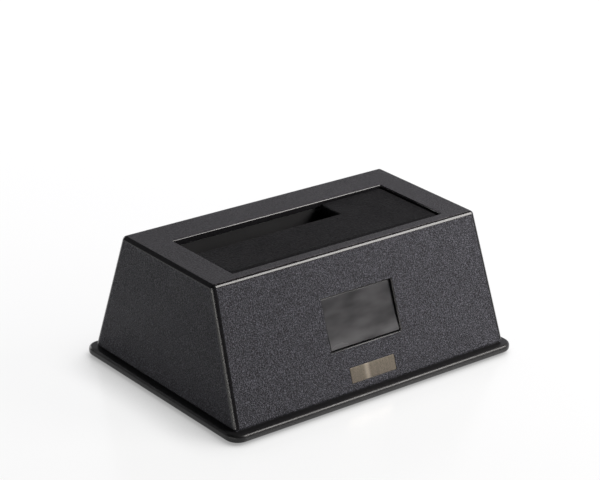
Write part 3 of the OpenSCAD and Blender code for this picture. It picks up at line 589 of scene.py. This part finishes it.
def area_light(name, way, distance, size, power, along=(0, 0, 1), colour=(1.0, 1.0, 1.0)):
    """Soft box in a direction and at a distance from the point that it lights, with its height along a direction."""
    data = bpy.data.lights.new(name, "AREA")
    data.shape = "RECTANGLE"
    data.size, data.size_y = size
    data.energy = power
    data.color = colour
    lamp = bpy.data.objects.new(name, data)
    toward = Vector(way).normalized()
    height = (Vector(along) - toward * toward.dot(Vector(along))).normalized()
    turn = Matrix((height.cross(toward), height, toward)).transposed().to_4x4()
    lamp.matrix_world = Matrix.Translation(LIT_POINT + distance * toward) @ turn
    bpy.context.scene.collection.objects.link(lamp)


def seen_light(tree):
    """1 for rays from the camera, a gloss or a glass, else 0."""
    path = tree.add("ShaderNodeLightPath").outputs
    seen = tree.math("MAXIMUM", path["Is Camera Ray"], path["Is Glossy Ray"])
    return tree.math("MAXIMUM", seen, path["Is Transmission Ray"])


def make_floor():
    """White glossy table top that takes the object's shadow and a faint reflection."""
    tree = Tree("floor", Roughness=0.2)
    cloud = tree.noise(0.4, 2.0)
    near = tree.add("ShaderNodeAmbientOcclusion", samples=16)
    tree.put(near.inputs["Distance"], CONTACT_REACH)
    wide = tree.add("ShaderNodeAmbientOcclusion", samples=16)
    tree.put(wide.inputs["Distance"], SHADOW_REACH)
    tilt = tree.add("ShaderNodeVectorMath", operation="ADD")
    tree.put(tilt.inputs[0], tree.add("ShaderNodeNewGeometry").outputs["Normal"])
    tree.put(tilt.inputs[1], SHADOW_LEAN)
    tree.put(wide.inputs["Normal"], tilt.outputs["Vector"])
    shade = tree.math("MULTIPLY", tree.ramp(near.outputs["AO"], 0.0, 1.0, 0.8, 1.0),
                      tree.ramp(wide.outputs["AO"], 0.1, 1.0, 0.46, 1.0))
    tree.surface(
        Base_Color=tree.mix(cloud, rgb(0.07, 0.07, 0.07), rgb(0.075, 0.075, 0.075)),
        Emission_Color=rgb(1.0, 1.0, 1.0),
        Emission_Strength=tree.math("MULTIPLY", tree.math("MULTIPLY", seen_light(tree), FLOOR_GLOW), shade),
    )
    mesh = bmesh.new()
    bmesh.ops.create_grid(mesh, x_segments=2, y_segments=2, size=FLOOR_HALF)
    data = bpy.data.meshes.new("floor")
    mesh.to_mesh(data)
    mesh.free()
    floor = bpy.data.objects.new("floor", data)
    bpy.context.scene.collection.objects.link(floor)
    data.materials.append(tree.material)


def make_world():
    """Studio around the object: a white sweep behind it to the right, dim elsewhere and dark overhead."""
    world = bpy.data.worlds.new("studio")
    bpy.context.scene.world = world
    world.use_nodes = True
    tree = world.node_tree
    way = tree.nodes.new("ShaderNodeTexCoord").outputs["Generated"]

    def along(direction, low, high, to_low, to_high):
        dot = tree.nodes.new("ShaderNodeVectorMath")
        dot.operation = "DOT_PRODUCT"
        tree.links.new(way, dot.inputs[0])
        dot.inputs[1].default_value = direction
        ramp = tree.nodes.new("ShaderNodeMapRange")
        ramp.interpolation_type = "SMOOTHSTEP"
        tree.links.new(dot.outputs["Value"], ramp.inputs["Value"])
        for socket, number in zip(RAMP_SOCKETS, (low, high, to_low, to_high)):
            ramp.inputs[socket].default_value = number
        return ramp.outputs["Result"]

    level = tree.nodes.new("ShaderNodeMath")
    level.operation = "MULTIPLY"
    tree.links.new(along((0, 0, 1), 0.18, 0.7, 0.78, 0.08), level.inputs[0])
    tree.links.new(along(SWEEP, 0.0, 0.7, 0.15, 1.0), level.inputs[1])
    background = tree.nodes["Background"]
    background.inputs["Color"].default_value = rgb(*SKY)
    tree.links.new(level.outputs["Value"], background.inputs["Strength"])


def make_camera():
    azimuth, elevation, roll = (math.radians(a) for a in (AZIMUTH, ELEVATION, ROLL))
    back = Vector((math.sin(azimuth) * math.cos(elevation), -math.cos(azimuth) * math.cos(elevation),
                   math.sin(elevation)))
    right = (-back).cross(Vector((0, 0, 1))).normalized()
    up = right.cross(-back)
    across = math.cos(roll) * right + math.sin(roll) * up
    upright = math.cos(roll) * up - math.sin(roll) * right
    data = bpy.data.cameras.new("camera")
    data.sensor_width = SENSOR
    data.lens = FOCAL_PX / PHOTO_W * SENSOR
    camera = bpy.data.objects.new("camera", data)
    camera.matrix_world = Matrix.Translation(CAMERA_PLACE) @ Matrix((across, upright, back)).transposed().to_4x4()
    bpy.context.scene.collection.objects.link(camera)
    bpy.context.scene.camera = camera


make_floor()
make_world()
area_light("key", way=(0.6, -0.55, 0.58), distance=0.5, size=(0.24, 0.3), power=3.2, along=(0, 0.7, 0.7),
           colour=(1.0, 0.965, 0.94))
area_light("back", way=(-0.1, 0.97, 0.22), distance=1.0, size=(0.5, 0.5), power=2.5)
area_light("left", way=(-0.94, -0.33, 0.05), distance=1.0, size=(1.0, 0.045), power=1.6, colour=(1.0, 0.97, 0.93))
make_camera()
bpy.context.scene.view_settings.view_transform = "Standard"
